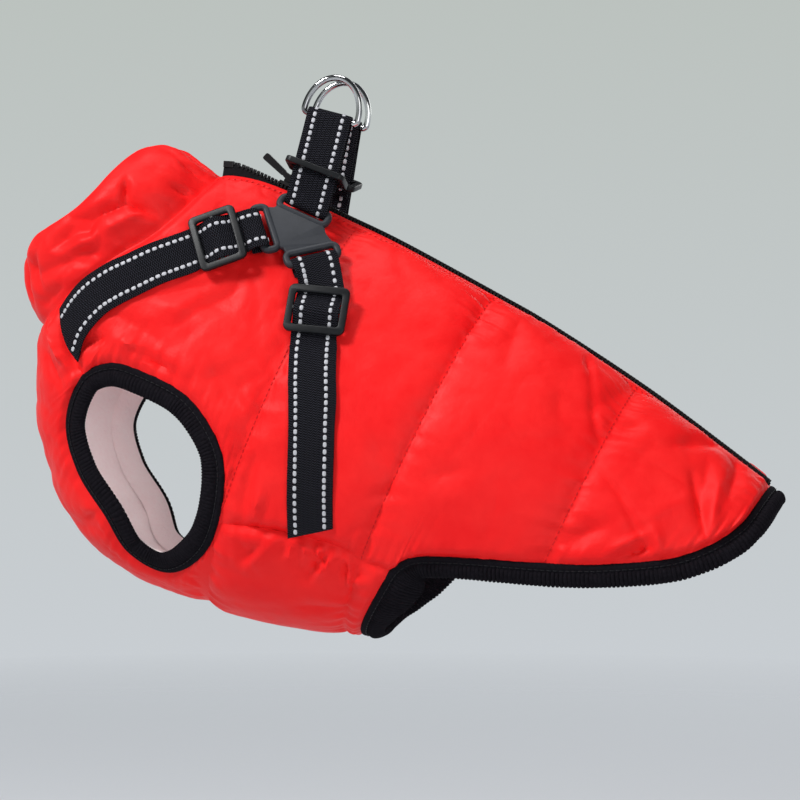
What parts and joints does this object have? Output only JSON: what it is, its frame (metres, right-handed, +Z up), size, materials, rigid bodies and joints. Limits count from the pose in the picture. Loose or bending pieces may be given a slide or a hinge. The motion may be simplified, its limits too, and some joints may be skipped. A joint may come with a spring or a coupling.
{
  "type": "dog jacket",
  "caption": "Quilted dog jacket with a stand collar, a zip down the back, ribbed openings and a built-in webbing harness with D-rings, filled out with no wearer.",
  "frame": {"origin": "inside face of the back lining at the withers, under the harness, where the wearer's back holds the jacket up", "axes": "+X towards the tail, +Y towards the jacket's right side, +Z up; the jacket is the same on both sides of the plane Y = 0"},
  "size_m": [0.4244, 0.1472, 0.3105],
  "materials": {
    "red_nylon": "lightly padded, quilted woven nylon",
    "white_fleece": "short pile fleece",
    "black_rib": "ribbed elastic",
    "black_webbing": "woven webbing with two rows of light grey dashes",
    "black_zip_tape": "woven tape",
    "dark_grey_plastic": "moulded, satin",
    "black_plastic": "moulded, satin",
    "chromed_steel": "polished chrome"
  },
  "bodies": {
    "jacket": {"back_panel_left": "red_nylon", "back_panel_right": "red_nylon", "chest_panel": "red_nylon", "collar": "red_nylon", "lining_left": "white_fleece", "lining_right": "white_fleece", "lining_chest": "white_fleece", "armhole_binding_left": "black_rib", "armhole_binding_right": "black_rib", "hem_binding": "black_rib", "zip_tape_left": "black_zip_tape", "zip_tape_right": "black_zip_tape", "zip_chain_left": "black_plastic", "zip_chain_right": "black_plastic", "zip_stop_left": "black_plastic", "zip_stop_right": "black_plastic", "zip_slider": "black_plastic", "connector_left": "dark_grey_plastic", "connector_right": "dark_grey_plastic", "chest_strap_left": "black_webbing", "chest_strap_right": "black_webbing", "girth_strap_left": "black_webbing", "girth_strap_right": "black_webbing", "riser_strap_left": "black_webbing", "riser_strap_right": "black_webbing", "chest_adjuster_left": "dark_grey_plastic", "chest_adjuster_right": "dark_grey_plastic", "girth_adjuster_left": "dark_grey_plastic", "girth_adjuster_right": "dark_grey_plastic", "riser_adjuster_left": "dark_grey_plastic", "riser_adjuster_right": "dark_grey_plastic"},
    "ring_left": {"d_ring_left": "chromed_steel"},
    "ring_right": {"d_ring_right": "chromed_steel"},
    "pull": {"zip_pull": "black_plastic"}
  },
  "joints": [
    {"name": "ring_left_swing", "type": "hinge", "parent": "jacket", "child": "ring_left", "pos_m": [0.0055, -0.012, 0.0531], "axis": [0.9636, 0, -0.2672], "range_deg": [-24, 90]},
    {"name": "ring_right_swing", "type": "hinge", "parent": "jacket", "child": "ring_right", "pos_m": [0.0055, 0.012, 0.0531], "axis": [-0.9636, 0, 0.2672], "range_deg": [-24, 90]},
    {"name": "pull_swing", "type": "hinge", "parent": "jacket", "child": "pull", "pos_m": [-0.0196, 0, 0.02079], "axis": [0, -1, 0], "range_deg": [-120, 10]}
  ]
}
